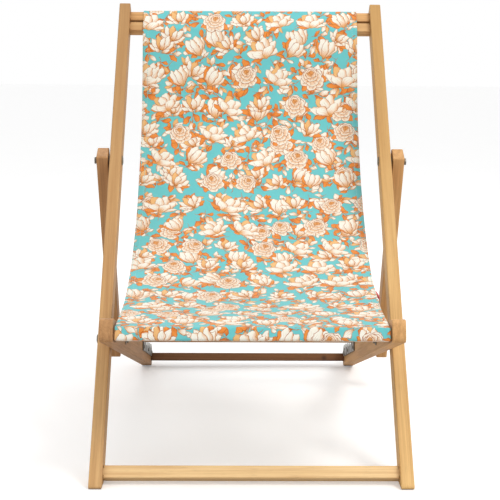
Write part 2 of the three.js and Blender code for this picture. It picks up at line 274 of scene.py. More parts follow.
# The width of a drawn line, in motif radii, and how dark an outline is.
LINE_WIDTH = 0.04
OUTLINE_SHARE = 0.92


class Petal:
    """A petal or leaf: its base, the degrees it leans from straight up, and its size in motif radii."""

    # Petals narrower than this are plain stems.
    STEM_WIDTH = 0.08
    VEINS_A_SIDE = 2.5
    TINY = 0.0005

    def __init__(self, base, degrees, length, width, point=0.8, bend=0.0, tint="cream", swell=1.25):
        self.base = base
        self.angle = math.radians(degrees)
        self.length = length
        self.width = width
        self.point = point
        self.bend = bend
        self.tint = tint
        self.swell = swell

    def draw(self, g, x, y):
        """The petal's colour and mask: a half-width that swells and closes along its length."""
        c, s = math.cos(self.angle), math.sin(self.angle)
        bx, by = self.base
        across = g.sum(g.math("MULTIPLY_ADD", x, c, -bx * c - by * s), y, s)
        along = g.math("MULTIPLY_ADD", x, -s / self.length, (bx * s - by * c) / self.length)
        t = g.sum(along, y, c / self.length)
        t_in = g.math("MINIMUM", g.math("MAXIMUM", t, self.TINY), 1 - self.TINY)
        if self.bend:
            shift = g.math("MULTIPLY", g.math("MULTIPLY", t_in, t_in), self.bend)
            across = g.math("SUBTRACT", across, shift)
        crown = g.math("SINE", g.math("MULTIPLY", g.math("POWER", t_in, self.swell), math.pi))
        half = g.math("MULTIPLY_ADD", g.math("POWER", crown, self.point), self.width, self.TINY)
        inside = g.math("SUBTRACT", half, g.math("ABSOLUTE", across))
        within = g.math("COMPARE", t, 0.5, 0.5)
        mask = g.math("MULTIPLY", g.math("GREATER_THAN", inside, 0.0), within)
        rim = outline(g, inside)
        if self.width < self.STEM_WIDTH:
            return g.mix(rim, CREAM, LINE), mask
        side = g.math("DIVIDE", across, half)
        base_shade = g.step(t, low=0.62, high=0.05, out_high=0.95)
        side_shade = g.step(side, low=0.15, high=1.0, out_high=0.7)
        light, deep = TINTS[self.tint]
        fill = g.mix(g.math("MAXIMUM", base_shade, side_shade), light, deep)
        vein = g.math("PINGPONG", g.math("MULTIPLY", side, self.VEINS_A_SIDE), 0.5)
        vein = g.math("MULTIPLY", vein, half)
        vein = g.step(vein, low=LINE_WIDTH * 0.6, high=LINE_WIDTH * 0.2, out_high=0.6)
        fades = g.step(t, low=0.88, high=0.5)
        fill = g.mix(g.math("MULTIPLY", vein, fades), fill, LINE)
        return g.mix(rim, fill, LINE), mask


def outline(g, inside):
    """How much of the drawn line shows, from the distance inside a shape's edge."""
    return g.step(inside, low=LINE_WIDTH, high=LINE_WIDTH * 0.5, out_high=OUTLINE_SHARE)


def lay(g, stack, made):
    """Lays a colour and its mask over a stack of the same, which is None at first."""
    if stack is None:
        return made
    return g.mix(made[1], stack[0], made[0]), g.math("MAXIMUM", stack[1], made[1])


def motif_group(name, draw):
    """A node group that draws one motif at X, Y in motif radii."""
    inputs = [("X", "Float"), ("Y", "Float")]
    outputs = [("Color", "Color"), ("Mask", "Float")]
    tree, g, given = new_group(name, inputs, outputs)
    close_group(g, *draw(g, given["X"], given["Y"]))
    return tree


def draw_petals(petals):
    """A function that draws petals, the last on top."""

    def draw(g, x, y):
        stack = None
        for petal in petals:
            stack = lay(g, stack, petal.draw(g, x, y))
        return stack

    return draw


# Whole petals added to an angle round a ring, so that it is never negative.
RING_OFFSET = 20.0
STRANDS_A_PETAL = 3.0


def draw_ring(g, x, y, lift, radius, count, phase, scallop, tint):
    """A ring of rounded petals, seen from above."""
    y = g.math("SUBTRACT", y, lift)
    r = g.math("SQRT", g.sum(g.math("MULTIPLY", x, x), y, y))
    turns = g.math("MULTIPLY_ADD", g.math("ARCTAN2", y, x), count / math.tau, phase + RING_OFFSET)
    lobe = g.math("PINGPONG", turns, 0.5)
    valley = g.math("POWER", g.math("MULTIPLY_ADD", lobe, -2.0, 1.0), 2.0)
    edge = g.math("MULTIPLY_ADD", valley, -scallop * radius, radius)
    inside = g.math("SUBTRACT", edge, r)
    mask = g.math("GREATER_THAN", inside, 0.0)
    light, deep = TINTS[tint]
    shade = g.step(inside, low=0.0, high=radius * 0.4)
    shade = g.math("MULTIPLY", shade, g.step(valley, low=0.0, high=1.0, out_low=0.6))
    fill = g.mix(shade, light, deep)
    strand = g.math("PINGPONG", g.math("MULTIPLY", turns, STRANDS_A_PETAL), 0.5)
    strand = g.step(strand, low=0.13, high=0.04, out_high=0.5)
    strand = g.math("MULTIPLY", strand, g.step(inside, low=0.05, high=0.14))
    fill = g.mix(strand, fill, LINE)
    crease = g.step(lobe, low=LINE_WIDTH * 0.16 * count / radius, high=0.0, out_high=0.9)
    fill = g.mix(crease, fill, LINE)
    return g.mix(outline(g, inside), fill, LINE), mask


# Rings of the rose, outermost first: (lift, radius, petals, phase, scallop, tint).
ROSE_RINGS = (
    (-0.10, 0.80, 5, 0.05, 0.20, "cream"),
    (0.06, 0.66, 4, 0.62, 0.15, "cream"),
    (0.17, 0.48, 3, 0.25, 0.14, "cream"),
    (0.24, 0.32, 3, 0.80, 0.13, "cream"),
    (0.28, 0.17, 2, 0.30, 0.12, "gold"),
)
ROSE_SEPALS = (
    Petal((0, 0), -112, 1.16, 0.24, 0.9, 0.1, "orange"),
    Petal((0, 0), 124, 1.1, 0.25, 0.9, -0.1, "orange"),
    Petal((0, 0), 74, 1.16, 0.2, 0.9, 0.1, "cream"),
)


def draw_rose(g, x, y):
    stack = draw_petals(ROSE_SEPALS)(g, x, y)
    for ring in ROSE_RINGS:
        stack = lay(g, stack, draw_ring(g, x, y, *ring))
    return stack


PEONY = (
    Petal((0, -0.6), -76, 1.16, 0.2, 0.85, 0.14, "cream"),
    Petal((0, -0.6), 78, 1.12, 0.2, 0.85, -0.14, "orange"),
    Petal((0, -0.62), 44, 1.34, 0.3, 0.6, -0.2, "cream"),
    Petal((0, -0.62), -44, 1.34, 0.3, 0.6, 0.2, "cream"),
    Petal((0, -0.4), 17, 1.2, 0.38, 0.5, -0.08, "gold"),
    Petal((0, -0.4), -18, 1.18, 0.38, 0.5, 0.08, "cream"),
    Petal((-0.02, -0.5), 3, 1.12, 0.33, 0.42, 0.04, "cream"),
    Petal((0.04, -0.66), 30, 1.0, 0.34, 0.55, -0.26, "cream"),
    Petal((-0.04, -0.66), -32, 0.94, 0.34, 0.55, 0.26, "cream"),
)
TULIP = (
    Petal((0, -0.98), 4, 0.5, 0.035, 0.4),
    Petal((0, -0.86), 96, 0.66, 0.13, 0.9, 0.08, "orange"),
    Petal((0, -0.86), -84, 0.7, 0.14, 0.9, -0.1, "cream"),
    Petal((0, -0.62), 30, 1.3, 0.27, 0.7, -0.12, "orange"),
    Petal((0, -0.62), -30, 1.36, 0.27, 0.7, 0.12, "cream"),
    Petal((0, -0.66), 13, 1.5, 0.36, 0.65, -0.06, "cream"),
    Petal((0, -0.66), -14, 1.48, 0.36, 0.65, 0.06, "cream"),
    Petal((0, -0.68), 0, 1.42, 0.26, 0.6, 0.0, "cream"),
)
LILY = (
    Petal((0, -0.2), 88, 0.95, 0.19, 0.85, 0.16, "cream"),
    Petal((0, -0.2), -84, 0.98, 0.2, 0.85, -0.16, "orange"),
    Petal((0, -0.22), 54, 1.08, 0.23, 0.8, 0.1, "cream"),
    Petal((0, -0.22), -52, 1.05, 0.24, 0.8, -0.1, "cream"),
    Petal((0, -0.24), 24, 1.14, 0.25, 0.75, 0.05, "gold"),
    Petal((0, -0.24), -22, 1.16, 0.25, 0.75, -0.05, "cream"),
    Petal((0, -0.26), 1, 0.92, 0.2, 0.7, 0.0, "cream"),
    Petal((0, -0.36), 68, 0.6, 0.15, 0.8, 0.1, "cream"),
    Petal((0, -0.36), -64, 0.62, 0.15, 0.8, -0.1, "cream"),
)
SPRIG = (
    Petal((0.06, -0.95), 3, 1.5, 0.03, 0.3),
    Petal((0.08, -0.5), 50, 0.85, 0.21, 0.95, 0.1, "orange"),
    Petal((0.1, -0.2), -44, 0.9, 0.24, 0.9, -0.1, "orange"),
    Petal((0.12, 0.1), 14, 0.9, 0.22, 0.9, 0.0, "cream"),
)
BUDS = (
    Petal((0, -0.98), -6, 1.3, 0.035, 0.3),
    Petal((0.04, -0.5), -62, 0.74, 0.17, 0.9, -0.1, "cream"),
    Petal((0.04, -0.34), 70, 0.7, 0.18, 0.9, 0.1, "orange"),
    Petal((0.1, -0.08), 20, 0.98, 0.22, 0.7, 0.0, "gold"),
    Petal((0.1, -0.08), -16, 1.0, 0.24, 0.7, 0.0, "cream"),
)


class Lattice:
    """Brick-laid cells, each holding one motif, turned and moved about at random."""

    # Rows are this much closer than columns, and motif sizes vary by up to this share.
    ROW_SQUEEZE = 1.12
    SHRINK = 0.2
    # Makes a second random number out of the first.
    SIZE_HASH = 7.3

    def __init__(self, cell, shift, seed, share, wobble=0.1, swing=math.tau):
        """cell is in millimetres, shift, share and wobble in cells, and swing in radians."""
        self.cell = cell
        self.shift = shift
        self.seed = seed
        self.share = share
        self.wobble = wobble
        self.swing = swing

    def place(self, g, x, y):
        """The place in a cell in motif radii, and a random number for the cell."""
        x = g.math("MULTIPLY_ADD", x, 1 / self.cell, self.shift[0])
        y = g.math("MULTIPLY_ADD", y, self.ROW_SQUEEZE / self.cell, self.shift[1])
        row = g.math("FLOOR", y)
        x = g.sum(x, row, 0.5)
        column = g.math("FLOOR", x)
        random = g.node("ShaderNodeTexWhiteNoise", noise_dimensions="3D")
        g.plug(random.inputs["Vector"], g.join(column, row, self.seed))
        first, second, third = g.channels(random.outputs["Color"])
        u = g.math("SUBTRACT", g.math("SUBTRACT", x, column), 0.5)
        v = g.math("SUBTRACT", g.math("SUBTRACT", y, row), 0.5)
        u = g.math("MULTIPLY_ADD", g.math("SUBTRACT", first, 0.5), self.wobble, u)
        v = g.math("MULTIPLY_ADD", g.math("SUBTRACT", second, 0.5), self.wobble, v)
        chance = g.math("FRACT", g.math("MULTIPLY", first, self.SIZE_HASH))
        size = g.math("MULTIPLY_ADD", chance, self.SHRINK, 1.0)
        u = g.math("MULTIPLY", g.math("MULTIPLY", u, size), 1 / self.share)
        v = g.math("MULTIPLY", g.math("MULTIPLY", v, size), 1 / (self.share * self.ROW_SQUEEZE))
        angle = g.math("MULTIPLY", g.math("SUBTRACT", third, 0.5), self.swing)
        c, s = g.math("COSINE", angle), g.math("SINE", angle)
        turned_u = g.math("SUBTRACT", g.math("MULTIPLY", u, c), g.math("MULTIPLY", v, s))
        turned_v = g.sum(g.math("MULTIPLY", u, s), v, c)
        return turned_u, turned_v, random.outputs["Value"]


# Noise that bends the print, its scale and reach in millimetres.
SWAY_SCALE = 0.085
SWAY_REACH = 9.0


def print_group():
    """The whole print: turquoise ground, sprigs, buds and full flowers. Plane is in millimetres."""
    rose = motif_group("rose", draw_rose)
    tulip = motif_group("tulip", draw_petals(TULIP))
    lily = motif_group("lily", draw_petals(LILY))
    peony = motif_group("peony", draw_petals(PEONY))
    sprig = motif_group("sprig", draw_petals(SPRIG))
    buds = motif_group("buds", draw_petals(BUDS))
    tree, g, given = new_group("floral print", [("Plane", "Vector")], [("Color", "Color")])
    plane_x, plane_y, _ = g.split(g.wander(given[0], SWAY_SCALE, SWAY_REACH))
    color = TURQUOISE
    behind = ((rose, 0.0, 0.25), (tulip, 0.25, 0.65), (lily, 0.65, 1.0))
    front = ((rose, 0.0, 0.22), (peony, 0.22, 0.54), (tulip, 0.54, 0.78), (lily, 0.78, 1.0))
    layers = (
        (Lattice(46, (0.24, 0.15), 3.0, 0.5), ((sprig, 0.0, 1.0),)),
        (Lattice(57, (0.54, 0.7), 5.0, 0.5), ((sprig, 0.0, 1.0),)),
        (Lattice(48, (0.4, 0.66), 7.0, 0.46), ((buds, 0.0, 1.0),)),
        (Lattice(84, (0.42, 0.69), 17.0, 0.36, 0.1, 1.8), behind),
        (Lattice(66, (0.0, 0.0), 11.0, 0.47, 0.12, 1.5), front),
    )
    for lattice, motifs in layers:
        x, y, kind = lattice.place(g, plane_x, plane_y)
        for motif, low, high in motifs:
            made = g.group(motif, X=x, Y=y)
            mask = made["Mask"]
            if high - low < 1:
                chosen = g.math("COMPARE", kind, (low + high) / 2, (high - low) / 2)
                mask = g.math("MULTIPLY", mask, chosen)
            color = g.mix(mask, color, made["Color"])
    close_group(g, color)
    return tree


MILLIMETRES = 1000.0
WEAVE_PITCH_MM = 0.9
# How far the print fades into this colour on the canvas's reverse.
REVERSE_FADE = 0.62
REVERSE_COLOR = linear(226, 232, 226)


def canvas_material(name, printed, reverse):
    """Plain-weave canvas. The print shows paler on the reverse."""
    material, g = new_material(name)
    uv = g.node("ShaderNodeUVMap", uv_map="sheet").outputs[0]
    plane = g.vector("SCALE", uv, MILLIMETRES)
    color = g.group(printed, Plane=plane)["Color"]
    if reverse:
        color = g.mix(REVERSE_FADE, color, REVERSE_COLOR)
    x, y, _ = g.split(plane)
    warp = g.math("SINE", g.math("MULTIPLY", x, math.tau / WEAVE_PITCH_MM))
    weft = g.math("SINE", g.math("MULTIPLY", y, math.tau / WEAVE_PITCH_MM))
    weave = g.math("MULTIPLY", warp, weft)
    slub = g.noise(g.vector("MULTIPLY", plane, (0.9, 0.06, 0.0)), scale=1.0)["Fac"]
    cloud = g.noise(plane, scale=0.02, detail=3.0)["Fac"]
    slub_tone, cloud_tone, weave_tone, least_tone = 0.10, 0.10, 0.03, 0.90
    tone = g.math("ADD", g.math("MULTIPLY", slub, slub_tone), g.math("MULTIPLY", cloud, cloud_tone))
    tone = g.math("ADD", tone, g.math("MULTIPLY", weave, weave_tone))
    tone = g.math("ADD", tone, least_tone)
    color = g.vector("SCALE", color, tone)
    height = g.math("ADD", weave, g.math("MULTIPLY", slub, 2.0))
    normal = g.bump(height, distance=0.00012, strength=0.7)
    finish_material(g, Base_Color=color, Roughness=0.86, Normal=normal, Sheen_Weight=0.25,
                    Sheen_Roughness=0.5, Specular_IOR_Level=0.25)
    return material


# ---- Timber and steel ----

# How far edges look rounded, and how far painted shade reaches out of a corner.
TIMBER_EDGE = 0.0016
STEEL_EDGE = 0.0006
PAINTED_SHADE_REACH = 0.014
# A knot's dark core and its outer ring.
KNOT_CORE = 0.002
KNOT_RING = 0.009
# How much of the darker tone a stile has at its top.
TOP_DARKENING = 0.7


def timber_group():
    """Straight-grained oiled hardwood. Along is the place in metres with Y along the grain."""
    tree, g, given = new_group(
        "timber",
        [("Along", "Vector"), ("Light", "Color"), ("Dark", "Color")],
        [("Color", "Color"), ("Roughness", "Float"), ("Normal", "Vector")],
    )

    def stretched(place, scales, detail=2.0, roughness=0.5, distortion=0.0):
        """Noise with its own scale on each axis, in features a metre."""
        place = g.vector("MULTIPLY", place, scales)
        return g.noise(place, 1.0, detail, roughness, distortion)

    drift = stretched(given["Along"], (14.0, 1.6, 14.0))["Color"]
    drift_reach = 0.014
    drift = g.vector("SCALE", g.vector("SUBTRACT", drift, (0.5, 0.5, 0.5)), drift_reach)
    place = g.vector("ADD", given["Along"], drift)
    rings = stretched(place, (150.0, 3.0, 95.0), detail=3.0, roughness=0.55, distortion=0.4)["Fac"]
    streak = stretched(place, (620.0, 9.0, 620.0))["Fac"]
    pore = stretched(place, (2400.0, 42.0, 2400.0), detail=1.0)["Fac"]
    patch = stretched(given["Along"], (9.0, 4.0, 9.0))["Fac"]
    # How much of the dark tone the rings, streaks and patches each bring.
    ring_share, streak_share, patch_share = 0.55, 0.28, 0.9
    share = g.step(rings, low=0.34, high=0.68)
    share = g.math("MULTIPLY", share, ring_share)
    streaks = g.math("MULTIPLY", g.step(streak, low=0.35, high=0.7), streak_share)
    share = g.math("ADD", share, streaks)
    patches = g.math("MULTIPLY", g.math("SUBTRACT", patch, 0.5), patch_share)
    share = g.math("ADD", share, patches, clamp=True)
    color = g.mix(share, given["Light"], given["Dark"])
    dashes = g.step(pore, low=0.62, high=0.75, out_high=0.35)
    pore_shade, painted_shade_tone = 0.55, 0.4
    color = g.mix(dashes, color, g.vector("SCALE", given["Dark"], pore_shade))
    # Painted shade: the colour darkens towards the dark tone in corners and between parts, where
    # occlusion finds them.
    occlusion = g.node("ShaderNodeAmbientOcclusion", samples=6, only_local=False)
    g.plug(occlusion.inputs["Distance"], PAINTED_SHADE_REACH)
    painted_shade = g.step(occlusion.outputs["AO"], low=0.25, high=0.9, out_low=0.45, out_high=0.0)
    color = g.mix(painted_shade, color, g.vector("SCALE", given["Dark"], painted_shade_tone))
    height = g.math("ADD", g.math("MULTIPLY", streak, 0.7), g.math("MULTIPLY", dashes, -1.4))
    normal = g.bump(height, distance=0.00022, strength=0.5, normal=softened(g, TIMBER_EDGE))
    least_roughness, streak_roughness = 0.42, 0.18
    roughness = g.math("ADD", g.math("MULTIPLY", streak, streak_roughness), least_roughness)
    close_group(g, color, roughness, normal)
    return tree


def softened(g, radius):
    """A normal that rounds the edges of a solid."""
    soft = g.node("ShaderNodeBevel", samples=4)
    g.plug(soft.inputs["Radius"], radius)
    return soft.outputs[0]


def timber_material(name, timber, along, light, dark, number, knot=None, top_darkening=0.0):
    """Timber whose grain runs along a unit vector. A knot and a darker top are added where given."""
    material, g = new_material(name)
    place = g.node("ShaderNodeTexCoord").outputs["Object"]
    across = Vector((1, 0, 0)) if abs(along.x) < 0.5 else Vector((0, 1, 0))
    third = across.cross(along).normalized()
    parts = [g.vector("DOT_PRODUCT", place, tuple(axis)) for axis in (across, along, third)]
    # Each bar is cut from its own place in the grain.
    offset = (0.37 * number, 0.71 * number, 0.23 * number)
    grain = g.vector("ADD", g.join(*parts), offset)
    made = g.group(timber, Along=grain, Light=light, Dark=dark)
    color = made["Color"]
    if knot is not None:
        uneven = g.wander(place, scale=300.0, reach=0.003)
        reach = g.vector("LENGTH", g.vector("SUBTRACT", uneven, tuple(knot)))
        knotted = g.step(reach, low=KNOT_RING, high=KNOT_CORE, out_high=0.75)
        color = g.mix(knotted, color, g.vector("SCALE", dark, 0.3))
    # The colour runs darker towards the top.
    if top_darkening:
        height = g.split(place)[2]
        darker_share = g.step(height, low=0.0, high=0.8, out_high=top_darkening)
        color = g.mix(darker_share, color, g.vector("SCALE", dark, 0.8))
    finish_material(g, Base_Color=color, Roughness=made["Roughness"], Normal=made["Normal"],
                    Specular_IOR_Level=0.4, Coat_Weight=0.08, Coat_Roughness=0.35)
    return material


def steel_material(name, shade, roughness, way=None, first=0.0):
    """Dull, scratched zinc plate. Where way is given, recesses with painted shadow in them cross it, the
    first one at first.
    """
    material, g = new_material(name)
    place = g.node("ShaderNodeTexCoord").outputs["Object"]
    dull_shade, painted_shadow_tone, scratch_roughness = 0.72, 0.1, 0.25
    spangle = g.noise(place, scale=260.0)["Fac"]
    scratch = g.noise(g.vector("MULTIPLY", place, (900.0, 60.0, 900.0)), scale=1.0)["Fac"]
    spangled = g.step(spangle, low=0.3, high=0.7)
    color = g.mix(spangled, g.vector("SCALE", shade, dull_shade), shade)
    normal = g.bump(scratch, distance=0.00006, strength=0.5, normal=softened(g, STEEL_EDGE))
    if way is not None:
        along = g.math("SUBTRACT", g.vector("DOT_PRODUCT", place, tuple(way)), first)
        rise = g.math("COSINE", g.math("MULTIPLY_ADD", along, math.tau / RECESS_PITCH, math.pi))
        # Painted shadow: the colour goes nearly black in each recess.
        painted_shadow = g.step(rise, low=0.1, high=-0.4, out_high=0.9)
        color = g.mix(painted_shadow, color, g.vector("SCALE", shade, painted_shadow_tone))
        normal = g.bump(rise, distance=0.0005, strength=0.8, normal=normal)
    rough = g.math("ADD", g.math("MULTIPLY", scratch, scratch_roughness), roughness)
    finish_material(g, Base_Color=color, Metallic=0.95, Roughness=rough, Normal=normal)
    return material


def side_plane(name):
    """The middle of a node's box, as (y, z)."""
    low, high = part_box(name)
    middle = (Vector(low) + Vector(high)) / 2
    return Vector((middle.y, middle.z))


# The bars' pivots and directions in side view.
SEAT_PIVOT = Vector(JOINTS["frame_fold"]["pos_m"][1:])
STAY_PIVOT = Vector(JOINTS["stay_swing"]["pos_m"][1:])
BACK_WAY = (STAY_PIVOT - SEAT_PIVOT).normalized()
SEAT_WAY = (side_plane("left_rack_screw_3") - side_plane("left_rack_screw_1")).normalized()
STAY_WAY = (side_plane("stay_bar") - STAY_PIVOT).normalized()


def in_space(way):
    """A side-view vector as one in space."""
    return Vector((0, way.x, way.y))


def dress_frames():
    """Gives every carried-over bar, rack and fastener its material."""
    timber = timber_group()
    # The light and dark tone of each bar, partly the wood's own tone and partly painted light: the left
    # bars get darker tones than the right ones, and the tan and brown on the stays and on the bars under
    # the seat are painted shade.
    tan = (linear(202, 152, 100), linear(162, 114, 70))
    honey = (linear(228, 176, 114), linear(190, 138, 82))
    pale = (linear(224, 180, 122), linear(190, 140, 86))
    light = (linear(238, 194, 126), linear(204, 154, 88))
    bright = (linear(252, 216, 158), linear(222, 176, 120))
    brown = (linear(136, 92, 56), linear(100, 62, 34))
    cross = Vector((1, 0, 0))
    plan = (
        ("left_back_stile", in_space(BACK_WAY), pale),
        ("right_back_stile", in_space(BACK_WAY), light),
        ("left_seat_rail", in_space(SEAT_WAY), tan),
        ("right_seat_rail", in_space(SEAT_WAY), honey),
        ("left_stay_leg", in_space(STAY_WAY), tan),
        ("right_stay_leg", in_space(STAY_WAY), honey),
        ("back_top_slat", cross, honey),
        ("back_lower_slat", cross, pale),
        ("back_foot_rail", cross, bright),
        ("seat_front_slat", cross, tan),
        ("seat_second_slat", cross, tan),
        ("seat_rear_rail", cross, brown),
        ("stay_bar", cross, tan),
    )
    # The knot shows on the rear rail's front, towards its right end.
    low, high = (Vector(corner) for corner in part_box("seat_rear_rail"))
    knots = {"seat_rear_rail": Vector((high.x * 0.72, low.y + 0.004, (low.z + high.z) / 2))}
    for number, (name, along, tones) in enumerate(plan, 1):
        top_darkening = TOP_DARKENING if name.endswith("back_stile") else 0.0
        material = timber_material(name, timber, along, *tones, number, knots.get(name), top_darkening)
        set_material(NODES[name], material)
    first = side_plane("left_rack_screw_1").dot(SEAT_WAY) + RECESS_PAST_SCREW
    rack = steel_material("rack_steel", linear(206, 204, 200), 0.32, in_space(SEAT_WAY), first)
    bolt = steel_material("bolt_steel", linear(158, 152, 142), 0.36)
    for name, node in NODES.items():
        if "rack" in name and "screw" not in name:
            set_material(node, rack)
        elif any(word in name for word in ("bolt", "nut", "washer", "spacer", "screw")):
            set_material(node, bolt)


def set_material(obj, material):
    obj.data.materials.clear()
    obj.data.materials.append(material)


# ---- Sling ----


def rounded(points, radius, steps=5):
    """A path through points with its inner corners rounded."""
    path = [points[0]]
    for before, corner, after in zip(points, points[1:], points[2:]):
        start = corner + (before - corner).normalized() * radius
        end = corner + (after - corner).normalized() * radius
        for i in range(steps + 1):
            t = i / steps
            path.append(start * (1 - t) ** 2 + corner * 2 * t * (1 - t) + end * t * t)
    return path + [points[-1]]


def spline(points, steps):
    """A Catmull-Rom curve through points."""
    padded = [points[0] * 2 - points[1], *points, points[-1] * 2 - points[-2]]
    path = []
    for a, b, c, d in zip(padded, padded[1:], padded[2:], padded[3:]):
        for i in range(steps):
            t = i / steps
            path.append(0.5 * (2 * b + (c - a) * t + (2 * a - 5 * b + 4 * c - d) * t**2
                               + (3 * b - a - 3 * c + d) * t**3))
    return path + [points[-1]]


def resample(path, step):
    """Points a step apart along a path, with its ends kept."""
    lengths = np.concatenate([[0], np.cumsum([(b - a).length for a, b in zip(path, path[1:])])])
    count = max(2, round(lengths[-1] / step) + 1)
    wanted = np.linspace(0, lengths[-1], count)
    xs = np.interp(wanted, lengths, [p.x for p in path])
    ys = np.interp(wanted, lengths, [p.y for p in path])
    return [Vector(pair) for pair in zip(xs, ys)]


def loop_round(slat, way, outward):
    """The sheet's path round a slat in side view: over its outer edge, under it and into the slit."""
    centre = side_plane(slat)
    up = Vector((-way.y, way.x))
    top = SLAT_THICK / 2 + CLOTH_OFF
    tip = outward * (SLAT_WIDTH / 2 + CLOTH_OFF)
    slit = -outward * (SLAT_WIDTH + SLAT_SLIT) / 2

    def place(u, v):
        return centre + way * u + up * v

    face = place(tip - outward * LOOP_FACE, top)
    end = place(slit, top - LOOP_END)
    corners = [face, place(tip, top), place(tip, -top), place(slit, -top), end]
    return rounded(corners, LOOP_RADIUS)


def sling_path():
    """The sheet's centre line from its end in the back slit to its end in the seat slit."""
    back = loop_round("back_top_slat", BACK_WAY, 1)
    front = loop_round("seat_front_slat", SEAT_WAY, -1)
    up = Vector((-BACK_WAY.y, BACK_WAY.x))
    # The sheet lies over both back slats, and hangs from the lower one's lower edge.
    lower = side_plane("back_top_slat") - BACK_WAY * (SLAT_WIDTH * 1.5 + SLAT_SLIT)
    lower = lower + up * (SLAT_THICK / 2 + CLOTH_OFF)
    start = lower - BACK_WAY * EDGE_SINK - up * EDGE_SINK
    end = front[0]

    def between(back_share, down_share):
        y = start.y + (end.y - start.y) * down_share
        return Vector((start.x + (end.x - start.x) * back_share, y))

    hang = spline([start, *(between(*shares) for shares in SLING_SHAPE), end], SPLINE_STEPS)
    over = rounded([back[0], lower + BACK_WAY * 0.001, start], EDGE_RADIUS, 3)
    return [
        *resample(back[::-1], LOOP_STEP),
        *resample(over, OVER_STEP)[1:],
        *resample(hang, HANG_STEP)[1:],
        *resample(front, LOOP_STEP)[1:],
    ]


def normals_along(path):
    """Unit normals of a path, on the sitter's side."""
    found = []
    for i, _ in enumerate(path):
        way = path[min(i + 1, len(path) - 1)] - path[max(i - 1, 0)]
        found.append(Vector((way.y, -way.x)).normalized())
    return found


def arc_lengths(path):
    """How far along a path each of its points lies."""
    return [0.0, *np.cumsum([(b - a).length for a, b in zip(path, path[1:])])]


class Sheet:
    """The canvas as a surface: a place for each distance across and along, and height above it."""

    def __init__(self):
        self.path = sling_path()
        self.normals = normals_along(self.path)
        self.arcs = arc_lengths(self.path)
        self.length = self.arcs[-1]

    def relief(self, x, arc):
        """How far the cloth stands off its path: a shallow belly, and soft ripples by the edges."""
        share = x / (CLOTH_WIDTH / 2)
        below_top = min(max((arc - TOP_FLAT) / TOP_GROWTH, 0), 1)
        behind_front = min(max((self.length - FRONT_FLAT - arc) / FRONT_GROWTH, 0), 1)
        inside = below_top * behind_front
        inside = inside * inside * (3 - 2 * inside)
        belly = -BELLY_DEPTH * (1 - share * share)
        # A slow ripple held close to the edges, and a quicker one that reaches further in.
        ripple = SLOW_RIPPLE * math.sin(arc * 23 + 2.1 * share) * share**4
        ripple += QUICK_RIPPLE * math.sin(arc * 41 + 5 * share + 1.3) * share * share
        return inside * (belly + ripple)

    def place(self, x, index, height):
        """The point a distance across the sheet, in one of its rows, at a height above its face."""
        point = self.path[index] + self.normals[index] * (height + self.relief(x, self.arcs[index]))
        return Vector((x, point.x, point.y))


def cross_section():
    """The sheet's columns, folded under at both sides: (x, drop below the face, distance across)."""
    edge = CLOTH_WIDTH / 2 - HEM_DROP / 2
    hem = [(-edge + HEM_WIDTH * (1 - i / HEM_COLUMNS), HEM_DROP) for i in range(HEM_COLUMNS + 1)]
    for i in range(1, FOLD_COLUMNS):
        angle = math.pi * i / FOLD_COLUMNS
        x = -edge - math.sin(angle) * HEM_DROP / 2
        hem.append((x, HEM_DROP * (1 + math.cos(angle)) / 2))
    face = [(-edge + 2 * edge * i / COLUMNS, 0.0) for i in range(COLUMNS + 1)]
    columns = hem + face + [(-x, drop) for x, drop in hem[::-1]]
    across, total = [], 0.0
    for (x, drop), (last_x, last_drop) in zip(columns, [columns[0], *columns]):
        total += math.hypot(x - last_x, drop - last_drop)
        across.append(total)
    middle = across[-1] / 2
    return [(x, drop, distance - middle) for (x, drop), distance in zip(columns, across)]


def new_object(name, mesh):
    obj = bpy.data.objects.new(name, mesh)
    bpy.context.scene.collection.objects.link(obj)
    return obj


def apply_modifiers(obj):
    """Replaces an object's mesh with its evaluated one."""
    bpy.context.view_layer.update()
    evaluated = obj.evaluated_get(bpy.context.evaluated_depsgraph_get())
    mesh = bpy.data.meshes.new_from_object(evaluated)
    obj.modifiers.clear()
    obj.data = mesh


def across_frames(obj):
    """Bakes the object's transform into its mesh."""
    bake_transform(obj)


def build_canvas(sheet, face, reverse):
    """The sheet as a mesh, with its print laid out flat in the UV map."""
    columns = cross_section()
    mesh = bpy.data.meshes.new("canvas_sling")
    bm = bmesh.new()
    uv = bm.loops.layers.uv.new("sheet")
    rows = range(len(sheet.path))
    grid = [[bm.verts.new(sheet.place(x, i, -drop)) for x, drop, _ in columns] for i in rows]
    for i in rows[:-1]:
        for j in range(len(columns) - 1):
            quad = ((i, j), (i + 1, j), (i + 1, j + 1), (i, j + 1))
            made = bm.faces.new([grid[a][b] for a, b in quad])
            made.smooth = True
            for loop, (a, b) in zip(made.loops, quad):
                loop[uv].uv = (columns[b][2] + 1.0, sheet.length - sheet.arcs[a] + 1.0)
    bm.to_mesh(mesh)
    bm.free()
    obj = new_object("canvas_sling", mesh)
    mesh.materials.append(face)
    mesh.materials.append(reverse)
    solid = obj.modifiers.new("thickness", "SOLIDIFY")
    solid.thickness = CLOTH_THICK
    solid.offset = 0
    solid.material_offset = 1
    apply_modifiers(obj)
    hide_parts("sling")
    across_frames(obj)


def add_stitch(bm, centre, way, normal, length, radius):
    """A short plump thread lying on the cloth."""
    side = way.cross(normal).normalized()
    rings = []
    # Each ring's place along the thread, as a share of its length, and its share of the full radius.
    for along, size in ((-0.5, 0.35), (-0.25, 1.0), (0.25, 1.0), (0.5, 0.35)):
        ring = []
        for k in range(STITCH_SIDES):
            angle = math.tau * k / STITCH_SIDES
            out = side * math.cos(angle) + normal * math.sin(angle)
            ring.append(bm.verts.new(centre + way * along * length + out * radius * size))
        rings.append(ring)
    for a, b in zip(rings, rings[1:]):
        for k in range(STITCH_SIDES):
            following = (k + 1) % STITCH_SIDES
            bm.faces.new((a[k], a[following], b[following], b[k]))
    bm.faces.new(rings[0][::-1])
    bm.faces.new(rings[-1])


